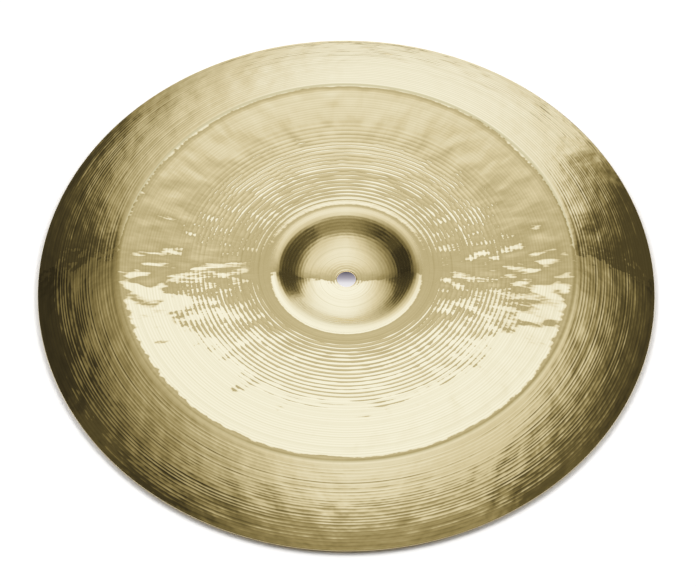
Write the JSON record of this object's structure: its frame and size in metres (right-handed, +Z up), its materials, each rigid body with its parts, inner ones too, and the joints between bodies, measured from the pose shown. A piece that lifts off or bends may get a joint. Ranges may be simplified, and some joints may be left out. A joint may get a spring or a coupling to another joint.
{
  "type": "china cymbal",
  "caption": "Round bronze china cymbal with a cupped bell, a shallow dished bow, a turned ridge and a wide reversed flange, hammered and lathed, with a central mounting hole.",
  "frame": {"origin": "on the axis of the mounting hole, at the level that the edge rests on with the bell hanging down", "axes": "+Z up along the axis, from the bell towards the ridge; the plate is round, so +X and +Y are any two directions across it"},
  "size_m": [0.4064, 0.4064, 0.0195],
  "materials": {
    "bronze": "lathed and hammered, polished bright"
  },
  "bodies": {
    "root": {"cymbal_plate": "bronze"}
  },
  "joints": []
}
